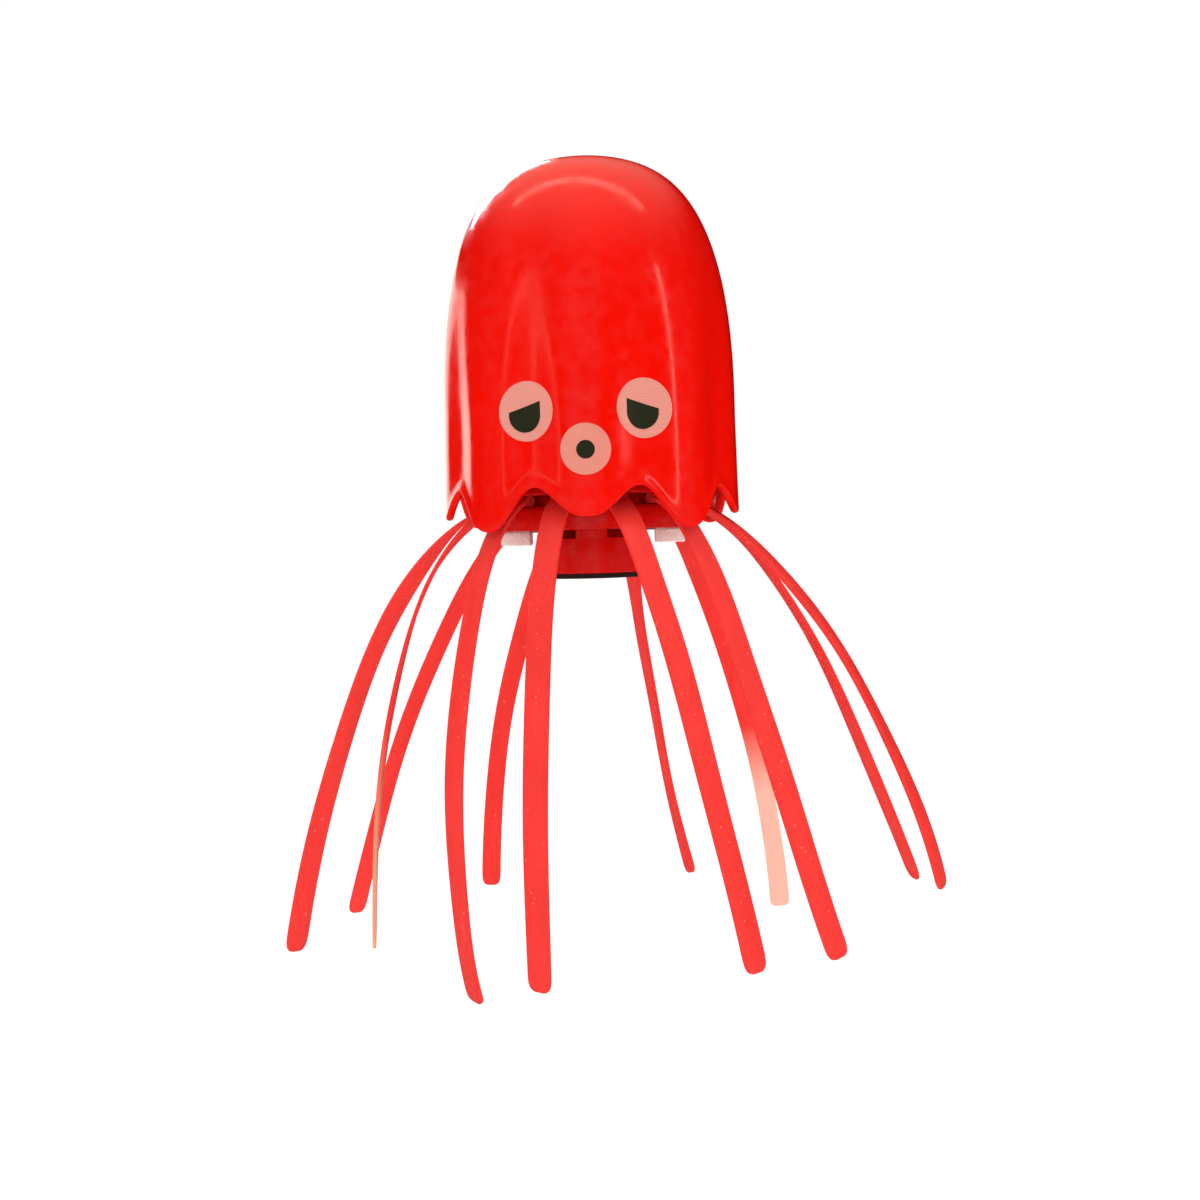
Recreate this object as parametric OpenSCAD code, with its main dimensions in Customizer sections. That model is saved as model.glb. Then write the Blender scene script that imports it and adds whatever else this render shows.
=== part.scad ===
// Swimming octopus toy: a fluted head shell over a sealed drive capsule, with twelve soft strips
// clamped in a ring and a small ducted impeller below. The face looks along -Y. Millimetres.

/* [Head shell] */
// Radius of the head at its rim, over the lobes
head_r = 29.8; // [28:0.1:32]
// How much the head narrows from its rim to the start of the dome
head_taper = 0.4; // [0:0.1:2]
// Height at which the dome starts
dome_z = 32; // [28:1:40]
// Height of the dome
dome_h = 50; // [44:1:54]
// Wall of the head shell
head_wall = 1.6; // [1.2:0.1:2.4]
// Number of lobes round the head
lobes = 9; // [9]
// Depth of the grooves between lobes, near the rim
groove_depth = 1.5; // [0:0.1:2.2]
// Height of the top of every arch in the rim
arch_z = 17.2; // [16:0.1:19]

/* [Face] */
// Angle of each eye from the front
eye_az = 22; // [17:0.5:24]
// Height of the eyes
eye_z = 31; // [28:0.5:36]
// Radius of an eye disc
eye_r = 5.4; // [4:0.1:6]
// Radius of the mouth disc
mouth_r = 4.6; // [3:0.1:5]
// Height of the mouth
mouth_z = 23.7; // [22:0.1:26]
// Slope of the upper edge of a pupil
pupil_slope = 16; // [0:1:30]

/* [Strips] */
// Width of a strip
strip_w = 4.8; // [3:0.1:5.5]
// Thickness of a strip
strip_t = 0.9; // [0.6:0.05:1.1]
// Radius of the moulded bead at the root of a strip
bead_r = 1.05; // [1:0.01:1.1]

/* [Clamp ring and hub] */
// Radius of the clamp disc
disc_r = 20; // [19:0.1:21]
// Outer radius of the hub under the disc
hub_r = 10.3; // [9:0.1:11]
// Bore radius of the hub
duct_r = 8.6; // [7.6:0.1:8.8]
// Thickness of the outlet guard under the hub
guard_t = 1; // [0.8:0.1:1.4]

/* [Drive] */
// Radius of the impeller shaft
shaft_r = 1; // [1]
// Teeth on the motor pinion
pinion_teeth = 10; // [10]
// Teeth on the drive gear
gear_teeth = 30; // [30]
// Tooth module of both gears
tooth_module = 0.4; // [0.4]
// Radius of the motor can
motor_r = 6; // [5:0.1:6]
// Length of the motor can
motor_len = 12; // [10:0.5:13]

/* [Power] */
// Radius of a button cell
cell_r = 5.8; // [5.8]
// Height of a button cell
cell_h = 5.4; // [5.4]
// Number of button cells
cells = 3; // [3]

/* [Hidden] */

$fn = 64;
red = "#e81505";
strip_red = "#f53b36";

// Each strip: angle from the front, then side shift, reach and height of its tip, then side shift, reach and
// height of the bend above the tip, then its twist. Angles grow towards +X.
STRIP_SHAPES = [
    [-75, 3, 61.9, -70.1, -0.4, 50.1, -9.1, -45],
    [-105, 9.2, 48.7, -77.9, 5.2, 47.6, -5.1, 23],
    [-135, 25.1, 56.5, -76.5, 13.4, 50.2, -20.9, 8],
    [-45, 3, 35.3, -77.1, 2.1, 45.1, -42.7, 0],
    [-165, 17.9, 40.9, -74.6, 15.9, 51.2, -24.5, -42],
    [-15, -4.9, 26.5, -76.8, -2.3, 34.7, -19.8, -4],
    [165, -10.2, 39.8, -72.8, 4.3, 48.3, -23.6, -52],
    [15, 13.7, 51.6, -65, 7.1, 35.6, -11.8, 18],
    [135, -7.7, 49.6, -79.2, -4.8, 52.8, -50.3, 70],
    [45, 5.6, 54.6, -67.2, 2.5, 38.5, -23, -14],
    [105, -7.5, 67.5, -67.3, -3.1, 46, -3.8, -2],
    [75, 5.7, 67.7, -62.2, 4.7, 57.5, -18.2, -12]];

// Levels, from the bottom up
disc_z = 9.6;
slot_z = 14.3;
flange_z = 16.2;
floor_z = 18.2;
plate_z = 27.4;
motor_z = 28.8;
cover_z = 22;
shoulder_z = 45.5;
neck_top = 65.5;
cell_z = 47.8;
cap_top = 69.5;

flange_r = 22;
capsule_r = 17;
cover_wall = 1.4;
cover_gap = 0.2;
rib_inner_r = capsule_r + cover_gap + cover_wall + 0.5;
neck_r = 9;
bead_ring_r = 18.4;
bead_z = (slot_z + flange_z) / 2;
gear_reach = tooth_module * (pinion_teeth + gear_teeth) / 2;
screw_ring_r = 13.6;
SCREW_ANGLES = [-25, 25, 155, 205];
PLATE_SCREWS = [-25, 25];
contact_x = 1.8;
contact_y = 13.5;
bush_r = 2.4;
running_gap = 0.05;

// Drop of each lobe below the tops of the arches, from the front lobe to the back
LOBE_DROPS = [5.5, 7.8, 5, 6.4, 6.6];
round_steps = 90;
wall_rows = 7;
dome_rows = 13;
dome_power_z = 2.4;
dome_power_r = 3.3;

// 1 in the middle of an arch, 0 in the middle of a lobe
function arch_share(az) = (1 - cos(lobes * az)) / 2;
function lobe_drop(az) =
    let (turned = az - 360 * round(az / 360))
    LOBE_DROPS[min(round(abs(turned) * lobes / 360), 4)];
function rim_z(az) = arch_z - lobe_drop(az) * (1 - pow(arch_share(az), 1.3));
function groove(az, z) =
    let (fade = max(0, min(1, (72 - z) / 45)))
    groove_depth * pow(fade, 1.2) * pow(arch_share(az), 1.4);
function lip_flare(az, z) = 0.7 * arch_share(az) * exp(-pow((z - rim_z(az)) / 2, 2));
function plain_r(z) =
    let (t = max(0, min(1, (z - dome_z) / dome_h)))
    (head_r - head_taper * min(1, (z - 10) / (dome_z - 10)))
        * pow(1 - pow(t, dome_power_z), 1 / dome_power_r);
function head_surface_r(az, z) = plain_r(z) - groove(az, z) + lip_flare(az, z);
function polar(r, az, z) = [r * sin(az), -r * cos(az), z];

// One ring of the shell at a row, on the outer (inset 0) or the inner (inset = wall) surface
function shell_point(az, row, inset) =
    row < wall_rows
    ? let (z = rim_z(az) + (dome_z - rim_z(az)) * pow(row / wall_rows, 1.25))
        polar(head_surface_r(az, z) - inset, az, z)
    : let (
            lift = 90 * (row - wall_rows) / dome_rows,
            z = dome_z + (dome_h - inset) * pow(sin(lift), 2 / dome_power_z),
            base = head_r - head_taper - inset)
        polar(base * pow(cos(lift), 2 / dome_power_r) - groove(az, z) * cos(lift), az, z);

module fluted_dome() {
    rows = wall_rows + dome_rows;
    ring = [for (k = [0:round_steps - 1]) k * 360 / round_steps];
    outer = [for (row = [0:rows - 1]) for (az = ring) shell_point(az, row, 0)];
    inner = [for (row = [0:rows - 1]) for (az = ring) shell_point(az, row, head_wall)];
    poles = [[0, 0, dome_z + dome_h], [0, 0, dome_z + dome_h - head_wall]];
    first_inner = rows * round_steps;
    outer_pole = 2 * first_inner;
    inner_pole = outer_pole + 1;
    last = (rows - 1) * round_steps;
    faces = [
        for (row = [0:rows - 2]) for (k = [0:round_steps - 1])
            let (a = row * round_steps + k, b = row * round_steps + (k + 1) % round_steps)
            each [[a, b + round_steps, b], [a, a + round_steps, b + round_steps],
                [a + first_inner, b + first_inner, b + round_steps + first_inner],
                [a + first_inner, b + round_steps + first_inner, a + round_steps + first_inner]],
        for (k = [0:round_steps - 1])
            let (next = (k + 1) % round_steps)
            each [[last + k, outer_pole, last + next],
                [last + k + first_inner, last + next + first_inner, inner_pole],
                [k, next, next + first_inner],
                [k, next + first_inner, k + first_inner]]];
    polyhedron(points = concat(outer, inner, poles), faces = faces, convexity = 8);
}

module head_shell() {
    color(red) {
        fluted_dome();
        // Ribs that stand on the flange of the capsule and centre the shell on its cover
        for (az = [0, 120, 240]) rotate([0, 0, az])
            translate([-0.6, -head_r + 1.2, floor_z + 0.4]) cube([1.2, head_r - 1.2 - rib_inner_r, 14]);
    }
}

// A thin printed patch that lies on the head: outline radii are given round its middle, anticlockwise as
// seen from the front
module patch(az, z, radii, lift, thickness, rings = 4) {
    n = len(radii);
    function at(u, v, off) =
        let (
            r0 = plain_r(z),
            a = az + u / r0 * 180 / PI,
            h = z + v)
        polar(head_surface_r(a, h) + off, a, h);
    function layer(off) = [
        at(0, 0, off),
        for (ring = [1:rings]) for (k = [0:n - 1])
            let (rho = radii[k] * ring / rings, th = 360 * k / n)
            at(rho * cos(th), rho * sin(th), off)];
    back = layer(lift);
    front = layer(lift + thickness);
    m = len(back);
    faces = [
        for (k = [0:n - 1])
            let (next = (k + 1) % n)
            each [[0, 1 + k, 1 + next], [m, m + 1 + next, m + 1 + k]],
        for (ring = [0:rings - 2]) for (k = [0:n - 1])
            let (a = 1 + ring * n + k, b = 1 + ring * n + (k + 1) % n)
            each [[a, b + n, b], [a, a + n, b + n], [m + a, m + b, m + b + n], [m + a, m + b + n, m + a + n]],
        for (k = [0:n - 1])
            let (a = 1 + (rings - 1) * n + k, b = 1 + (rings - 1) * n + (k + 1) % n)
            each [[a, m + b, b], [a, m + a, m + b]]];
    polyhedron(points = concat(back, front), faces = faces, convexity = 4);
}

patch_t = 0.12;
// Height of the first print above the shell, and of the second print above the first
print_lift = 0.1;
second_lift = print_lift + patch_t + 0.05;
pupil_r = 3.1;
pupil_rise = 1.5;
// A U-shaped pupil whose straight upper edge slopes by the given angle
function pupil_radii(slope, n = 40) = [
    for (k = [0:n - 1])
        let (
            th = 360 * k / n,
            side = th >= 180 || abs(cos(th)) < 0.01 ? 100 : pupil_r / abs(cos(th)),
            across = sin(th) - tan(slope) * cos(th),
            top = across > 0.02 ? pupil_rise / across : 100)
        th >= 180 ? min(pupil_r, top) : min(side, top)];
function disc_radii(r, n = 40) = [for (k = [0:n - 1]) r];

module eye(side) color("#eda298") patch(side * eye_az, eye_z, disc_radii(eye_r), print_lift, patch_t);
module pupil(side) color("#1f2a18")
    patch(side * eye_az - 0.6, eye_z - 0.7, pupil_radii(-side * pupil_slope), second_lift, patch_t);
module eye_left() eye(-1);
module eye_right() eye(1);
module pupil_left() pupil(-1);
module pupil_right() pupil(1);
module mouth_disc() color("#e27e6e") patch(0, mouth_z, disc_radii(mouth_r), print_lift, patch_t);
module mouth_dot() color("#1a1c10")
    patch(0, mouth_z - 0.1, disc_radii(1.65, 24), second_lift, patch_t, rings = 2);

// Strip: a ribbon swept along a cubic curve and twisted about it, with a bead across its root
strip_rings = 20;
function unit(v) = v / norm(v);
function cubic(p, t) = let (s = 1 - t)
    s * s * s * p[0] + 3 * s * s * t * p[1] + 3 * s * t * t * p[2] + t * t * t * p[3];
function strip_curve(shape) = [
    [0, -bead_ring_r, bead_z], [0, -bead_ring_r - 13, bead_z - 2],
    [shape[4], -shape[5], shape[6]], [shape[1], -shape[2], shape[3]]];
function strip_half_w(t) = strip_w / 2 * (t < 0.975 ? 1 : pow(max(0.03, 1 - pow((t - 0.975) / 0.025, 4)), 0.25));
// Share of the twist reached at t, which grows smoothly once the strip is clear of the head
function twist_share(t) = let (u = max(0, min(1, (t - 0.12) / 0.4))) u * u * (3 - 2 * u);

module strip(shape) {
    route = strip_curve(shape);
    sections = [for (i = [0:strip_rings])
        let (
            t = i < strip_rings - 3 ? 0.975 * i / (strip_rings - 3)
                : 0.975 + 0.025 * sin(30 * (i - strip_rings + 3)),
            here = cubic(route, t),
            along = unit(cubic(route, min(1, t + 0.01)) - cubic(route, max(0, t - 0.01))),
            side = unit([1, 0, 0] - along[0] * along),
            normal = cross(side, along),
            turn = shape[7] * twist_share(t),
            wide = strip_half_w(t) * (side * cos(turn) + normal * sin(turn)),
            thick = strip_t / 2 * (normal * cos(turn) - side * sin(turn)))
        each [here - wide - thick, here + wide - thick, here + wide + thick, here - wide + thick]];
    faces = [
        [3, 2, 1, 0],
        for (i = [0:strip_rings - 1]) for (k = [0:3])
            let (a = 4 * i + k, b = 4 * i + (k + 1) % 4)
            each [[a, b, b + 4], [a, b + 4, a + 4]],
        [for (k = [0:3]) 4 * strip_rings + k]];
    color(strip_red) rotate([0, 0, shape[0]]) {
        polyhedron(points = sections, faces = faces, convexity = 4);
        translate([-strip_w / 2, -bead_ring_r, bead_z]) rotate([0, 90, 0]) cylinder(r = bead_r, h = strip_w);
    }
}

// Ring groove that holds the beads, cut half in the disc and half in the flange
module bead_groove() translate([0, 0, bead_z]) rotate_extrude() translate([bead_ring_r, 0]) circle(r = 1.35);

module clamp_disc() color(red) difference() {
    union() {
        translate([0, 0, disc_z]) cylinder(r = disc_r, h = slot_z - disc_z - 0.9);
        translate([0, 0, slot_z - 0.9]) cylinder(r1 = disc_r, r2 = disc_r - 0.9, h = 0.9, $fn = 96);
        translate([0, 0, slot_z]) cylinder(r = 16.4, h = flange_z - slot_z);
    }
    bead_groove();
    translate([0, 0, disc_z - 1]) cylinder(r = bush_r + 0.4, h = 10);
    for (az = SCREW_ANGLES) rotate([0, 0, az]) translate([0, -screw_ring_r, 0]) {
        translate([0, 0, disc_z - 1]) cylinder(r = 1.15, h = 10);
        translate([0, 0, disc_z - 1]) cylinder(r = 2.2, h = 2.6);
    }
    for (side = [-1, 1]) translate([side * contact_x, contact_y, disc_z - 1]) cylinder(r = 0.6, h = 10);
}

// Hub: a short duct on five legs, which leave the water its way in under the disc
module hub() color(red) difference() {
    translate([0, 0, guard_t]) cylinder(r = hub_r, h = disc_z - guard_t);
    cylinder(r = duct_r, h = 12);
    for (k = [0:4]) rotate([0, 0, 72 * k + 36]) translate([-3.1, -hub_r - 1, disc_z - 1.6]) cube([6.2, 4, 2]);
}

module outlet_guard() color("#15180f") difference() {
    cylinder(r = hub_r - 0.3, h = guard_t);
    for (k = [0:3]) rotate([0, 0, 90 * k + 45]) intersection() {
        translate([0, 0, -1]) difference() {
            cylinder(r = duct_r - 0.8, h = 4);
            translate([0, 0, -1]) cylinder(r = 2.6, h = 6);
        }
        translate([0.5, 0.5, -1]) cube([12, 12, 4]);
    }
}

module float_pad(side) color("#f0dfca") intersection() {
    translate([0, 0, disc_z - 2.8]) difference() {
        cylinder(r = disc_r - 1.2, h = 2.8);
        translate([0, 0, -1]) cylinder(r = 13.2, h = 6);
    }
    translate([side * 10 - 10, -5.5, 0]) cube([20, 11, 12]);
}
module float_pad_left() float_pad(-1);
module float_pad_right() float_pad(1);

module screw(cap_r, cap_h, thread_r, length) {
    difference() {
        cylinder(r = cap_r, h = cap_h);
        for (a = [0, 90]) rotate([0, 0, a]) translate([-cap_r * 0.6, -0.2, -1]) cube([cap_r * 1.2, 0.4, 1.5]);
    }
    translate([0, 0, cap_h]) cylinder(r = thread_r, h = length);
}
module clamp_screws() color("silver") for (az = SCREW_ANGLES)
    rotate([0, 0, az]) translate([0, -screw_ring_r, disc_z + 0.3]) screw(1.9, 1.2, 1, 9.4);

// Two electrodes that switch the toy on in water
module water_contacts() color("gold") for (side = [-1, 1])
    translate([side * contact_x, contact_y, disc_z - 0.6]) union() {
        cylinder(r = 1.1, h = 0.6);
        cylinder(r = 0.55, h = 10.4);
    }

module capsule_base() color(red) difference() {
    union() {
        translate([0, 0, flange_z]) cylinder(r = flange_r, h = floor_z - flange_z);
        translate([0, 0, floor_z]) difference() {
            cylinder(r = capsule_r, h = 9.2);
            translate([0, 0, -1]) cylinder(r = capsule_r - 1.8, h = 20);
        }
        translate([0, 0, floor_z]) cylinder(r = 4, h = 3.4);
        for (az = SCREW_ANGLES) rotate([0, 0, az])
            translate([0, -screw_ring_r, floor_z]) cylinder(r = 1.9, h = 9.2);
    }
    bead_groove();
    translate([0, 0, flange_z - 1]) cylinder(r = bush_r, h = 8);
    for (az = SCREW_ANGLES) rotate([0, 0, az]) translate([0, -screw_ring_r, 0]) {
        translate([0, 0, flange_z - 1]) cylinder(r = 1, h = 6);
        translate([0, 0, 24.2]) cylinder(r = 0.7, h = 10);
    }
    for (side = [-1, 1]) translate([side * contact_x, contact_y, flange_z - 1]) cylinder(r = 0.55, h = 8);
    translate([0, 0, 24.4]) rotate_extrude() translate([capsule_r - 0.1, 0]) circle(r = 0.6);
}

module capsule_cover() color("#e6e6de") rotate_extrude() polygon([
    [capsule_r + cover_gap, cover_z], [capsule_r + cover_gap + cover_wall, cover_z],
    [capsule_r + cover_gap + cover_wall, shoulder_z - 1], [capsule_r + cover_gap, shoulder_z + 1],
    [neck_r + 1.4, shoulder_z + 2], [neck_r, shoulder_z + 3.2],
    [neck_r, neck_top], [neck_r - 1.4, neck_top],
    [neck_r - 1.4, shoulder_z + 0.8], [capsule_r - 1, shoulder_z - 0.6],
    [capsule_r + cover_gap, shoulder_z - 1.8]]);

module o_ring(r, wire_r) rotate_extrude() translate([r, 0]) circle(r = wire_r, $fn = 24);
module capsule_o_ring() color("#202020") translate([0, 0, 24.4]) o_ring(capsule_r - 0.24, 0.42);
module cap_o_ring() color("#202020") translate([0, 0, neck_top + 0.55]) o_ring(neck_r - 0.8, 0.45);

module ballast_ring() color("#8a8f94") translate([0, 0, floor_z]) difference() {
    cylinder(r = 11.3, h = 3);
    translate([0, 0, -1]) cylinder(r = 4.4, h = 6);
}

module bush(z, h) color("#b08840") translate([0, 0, z]) difference() {
    cylinder(r = bush_r, h = h);
    translate([0, 0, -1]) cylinder(r = shaft_r + running_gap, h = h + 2);
}
module lower_bush() bush(flange_z + 1.6, 3.8);
module upper_bush() bush(plate_z, 1.4);
module shaft_seal() color("#181818") translate([0, 0, flange_z]) difference() {
    cylinder(r = bush_r, h = 1.6);
    translate([0, 0, -1]) cylinder(r = shaft_r + running_gap, h = 4);
}

module impeller_shaft() color("#c8ccd0") translate([0, 0, 2.6]) cylinder(r = shaft_r, h = 25.6);

blade_angle = 32;
module impeller() color("#f4f1ea") translate([0, 0, 3.2]) difference() {
    union() {
        cylinder(r = 2.3, h = 4.4);
        for (k = [0:2]) rotate([0, 0, 120 * k]) intersection() {
            cylinder(r = duct_r - 0.8, h = 4.4);
            translate([duct_r / 2, 0, 2.2]) rotate([blade_angle, 0, 0])
                cube([duct_r, 6.4, 0.9], center = true);
        }
    }
    translate([0, 0, -1]) cylinder(r = shaft_r, h = 8);
}

// A spur gear with straight-sided teeth, centred on Z
module spur(teeth, width) {
    pitch_r = tooth_module * teeth / 2;
    tip_r = pitch_r + 0.85 * tooth_module;
    root_r = pitch_r - 1.15 * tooth_module;
    pitch_a = 360 / teeth;
    linear_extrude(height = width) polygon([
        for (k = [0:teeth - 1]) each [
            for (step = [[-0.31, root_r], [-0.11, tip_r], [0.11, tip_r], [0.31, root_r]])
                [step[1] * cos(pitch_a * (k + step[0])), step[1] * sin(pitch_a * (k + step[0]))]]]);
}
gear_z = 23.4;
motor_shaft_r = 0.5;
module drive_gear() color("#f2f2ee") translate([0, 0, gear_z]) difference() {
    union() {
        rotate([0, 0, 90]) spur(gear_teeth, 2.4);
        translate([0, 0, -1]) cylinder(r = 2.2, h = 4.4);
    }
    translate([0, 0, -2]) cylinder(r = shaft_r, h = 8);
}
module motor_pinion() color("#c9a24a") translate([0, gear_reach, gear_z - 0.2]) difference() {
    rotate([0, 0, 180 / pinion_teeth - 90]) spur(pinion_teeth, 3);
    translate([0, 0, -1]) cylinder(r = motor_shaft_r, h = 6);
}
module motor_shaft() color("#c8ccd0") translate([0, gear_reach, gear_z]) cylinder(r = motor_shaft_r, h = 12);

module motor_can() color("#b9bdc2") translate([0, gear_reach, motor_z]) difference() {
    union() {
        cylinder(r = motor_r, h = motor_len);
        translate([0, 0, -1.4]) cylinder(r = 1.5, h = 1.5);
    }
    translate([0, 0, -3]) cylinder(r = motor_shaft_r + running_gap, h = motor_len);
    translate([0, 0, motor_len - 1]) cylinder(r = motor_r - 0.6, h = 2);
}
module motor_end_cap() color("#f1efe6") translate([0, gear_reach, motor_z + motor_len - 1]) union() {
    cylinder(r = motor_r - 0.6, h = 1.8);
    cylinder(r = 1.6, h = 2.8);
}

module gear_plate() color("#3d4a66") translate([0, 0, plate_z]) difference() {
    cylinder(r = 15.4, h = 1.4);
    translate([0, 0, -1]) cylinder(r = bush_r, h = 4);
    translate([0, gear_reach, -1]) cylinder(r = 1.55, h = 4);
    for (az = PLATE_SCREWS) rotate([0, 0, az]) translate([0, -screw_ring_r, -1]) cylinder(r = 0.8, h = 4);
}
module plate_screws() color("silver") for (az = PLATE_SCREWS)
    rotate([0, 0, az]) translate([0, -screw_ring_r, plate_z + 2.2])
        mirror([0, 0, 1]) screw(1.4, 0.8, 0.65, 4);

module circuit_board() color("#1e6b3c") translate([-7, -4.6, motor_z]) {
    cube([14, 1, 12]);
    translate([3, -1.1, 2]) cube([4, 1.1, 4]);
    translate([9, -1.3, 6]) cube([2.4, 1.3, 3.6]);
}

// Leads from the board to the motor, each swept along a short bent route
lead_r = 0.45;
LEAD_ROUTES = [[[-2, -3.2, 38.8], [-2.2, -1.6, 40.4], [-2.2, 1.5, 43], [-2, 5.4, 43.6], [-2, 6.4, 42.1]],
    [[2, -3.2, 38.8], [2.2, -1.6, 40.4], [2.2, 1.5, 43], [2, 5.4, 43.6], [2, 6.4, 42.1]]];
module tube(route, r, sides = 8) {
    n = len(route);
    rings = [for (i = [0:n - 1])
        let (
            d = route[min(i + 1, n - 1)] - route[max(i - 1, 0)],
            along = d / norm(d),
            side = cross(along, [1, 0, 0]) / norm(cross(along, [1, 0, 0])),
            up = cross(side, along))
        for (k = [0:sides - 1]) route[i] + r * (cos(360 * k / sides) * side + sin(360 * k / sides) * up)];
    faces = [
        [for (k = [sides - 1:-1:0]) k],
        for (i = [0:n - 2]) for (k = [0:sides - 1])
            let (a = i * sides + k, b = i * sides + (k + 1) % sides)
            [a, b, b + sides, a + sides],
        [for (k = [0:sides - 1]) (n - 1) * sides + k]];
    polyhedron(points = rings, faces = faces, convexity = 4);
}
module motor_leads() for (i = [0, 1]) color(i == 0 ? "#c01818" : "#202020") tube(LEAD_ROUTES[i], lead_r);

// Sleeve that holds the stack of cells in the neck
module cell_sleeve() color("#2c2c30") translate([0, 0, shoulder_z - 0.9]) difference() {
    union() {
        cylinder(r = neck_r + 0.4, h = 1);
        cylinder(r = neck_r - 1.6, h = neck_top - shoulder_z - 1);
    }
    translate([0, 0, 1.9]) cylinder(r = cell_r + 0.2, h = 30);
}
module button_cells() color("#cfd2d6") for (k = [0:cells - 1])
    translate([0, 0, cell_z + k * (cell_h + 0.05)]) union() {
        cylinder(r = cell_r - 0.7, h = 0.6);
        translate([0, 0, 0.6]) cylinder(r = cell_r, h = cell_h - 0.6);
    }
// Conical contact spring under the stack, as a stack of rings joined by a centre disc
module contact_spring() color("#d8c27a") translate([0, 0, shoulder_z + 1]) union() {
    difference() {
        cylinder(r1 = 4.6, r2 = 2.6, h = 1.25, $fn = 48);
        translate([0, 0, -0.1]) cylinder(r1 = 4, r2 = 2, h = 1.5, $fn = 48);
    }
    cylinder(r = 4.6, h = 0.3);
}
module contact_plate() color("#d8c27a") translate([0, 0, cell_z + cells * (cell_h + 0.05) + 0.05])
    cylinder(r = 4.4, h = 0.6);

lid_r = neck_r + 0.3;
module battery_cap() color("#e8762c") difference() {
    union() {
        translate([0, 0, neck_top + 1]) cylinder(r = lid_r, h = cap_top - neck_top - 1);
        translate([0, 0, neck_top - 0.7]) cylinder(r = neck_r - 1.6, h = 2);
    }
    translate([-0.9, -6.5, cap_top - 1.8]) cube([1.8, 13, 3]);
}

module tentacle_01() strip(STRIP_SHAPES[0]);
module tentacle_02() strip(STRIP_SHAPES[1]);
module tentacle_03() strip(STRIP_SHAPES[2]);
module tentacle_04() strip(STRIP_SHAPES[3]);
module tentacle_05() strip(STRIP_SHAPES[4]);
module tentacle_06() strip(STRIP_SHAPES[5]);
module tentacle_07() strip(STRIP_SHAPES[6]);
module tentacle_08() strip(STRIP_SHAPES[7]);
module tentacle_09() strip(STRIP_SHAPES[8]);
module tentacle_10() strip(STRIP_SHAPES[9]);
module tentacle_11() strip(STRIP_SHAPES[10]);
module tentacle_12() strip(STRIP_SHAPES[11]);

head_shell();
eye_left();
eye_right();
pupil_left();
pupil_right();
mouth_disc();
mouth_dot();
clamp_disc();
hub();
outlet_guard();
float_pad_left();
float_pad_right();
clamp_screws();
water_contacts();
capsule_base();
capsule_cover();
capsule_o_ring();
ballast_ring();
lower_bush();
upper_bush();
shaft_seal();
impeller();
impeller_shaft();
drive_gear();
motor_pinion();
motor_shaft();
motor_can();
motor_end_cap();
gear_plate();
plate_screws();
circuit_board();
motor_leads();
cell_sleeve();
button_cells();
contact_spring();
contact_plate();
battery_cap();
cap_o_ring();
tentacle_01();
tentacle_02();
tentacle_03();
tentacle_04();
tentacle_05();
tentacle_06();
tentacle_07();
tentacle_08();
tentacle_09();
tentacle_10();
tentacle_11();
tentacle_12();
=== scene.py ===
"""Swimming octopus toy: glossy fluted head, soft strips clamped under it, a sealed drive capsule inside."""
import math

import bmesh
import bpy
from mathutils import Matrix, Quaternion, Vector


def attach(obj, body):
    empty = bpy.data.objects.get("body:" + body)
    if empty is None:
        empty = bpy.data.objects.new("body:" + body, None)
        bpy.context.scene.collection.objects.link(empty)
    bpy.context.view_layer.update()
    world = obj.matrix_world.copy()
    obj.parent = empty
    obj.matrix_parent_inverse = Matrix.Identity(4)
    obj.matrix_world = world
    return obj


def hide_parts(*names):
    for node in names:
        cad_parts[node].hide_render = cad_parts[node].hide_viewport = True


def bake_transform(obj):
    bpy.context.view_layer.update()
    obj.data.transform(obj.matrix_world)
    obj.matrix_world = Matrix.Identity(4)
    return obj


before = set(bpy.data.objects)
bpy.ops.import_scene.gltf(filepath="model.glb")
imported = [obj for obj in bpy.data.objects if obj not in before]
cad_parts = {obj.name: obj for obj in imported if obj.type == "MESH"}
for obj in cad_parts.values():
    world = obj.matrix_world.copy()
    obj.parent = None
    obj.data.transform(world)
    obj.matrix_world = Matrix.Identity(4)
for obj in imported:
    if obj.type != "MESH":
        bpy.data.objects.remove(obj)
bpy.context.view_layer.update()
scene = bpy.context.scene
MM = 0.001


# ---------------------------------------------------------------- camera, light and floor

def make_camera():
    """A close camera level with the hub under the head, tipped slightly down."""
    distance, height, turn, roll = 226 * MM, 6.64 * MM, math.radians(1.8), math.radians(-1.55)
    side, drop = 1.05 * MM, -4.75 * MM
    data = bpy.data.cameras.new("camera")
    data.sensor_width = 36
    data.lens = 33
    data.clip_start, data.clip_end = 0.01, 20
    camera = bpy.data.objects.new("camera", data)
    scene.collection.objects.link(camera)
    eye = Vector((distance * math.sin(turn), -distance * math.cos(turn), height))
    aim = Vector((side * math.cos(turn), side * math.sin(turn), drop))
    camera.rotation_mode = "QUATERNION"
    camera.location = eye
    camera.rotation_quaternion = (aim - eye).to_track_quat("-Z", "Y") @ Quaternion((0, 0, 1), roll)
    scene.camera = camera


def area_light(name, place, size, power, colour=(1, 1, 1), target=(0, 0, 0.03), mirrored=True):
    """A soft panel aimed at the toy; one that isn't mirrored lights it without showing in its gloss."""
    data = bpy.data.lights.new(name, "AREA")
    data.shape = "RECTANGLE"
    data.size, data.size_y = size
    data.energy = power
    data.color = colour
    light = bpy.data.objects.new(name, data)
    scene.collection.objects.link(light)
    light.location = place
    light.rotation_mode = "QUATERNION"
    light.rotation_quaternion = (Vector(target) - Vector(place)).to_track_quat("-Z", "Y")
    light.visible_glossy = mirrored


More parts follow.
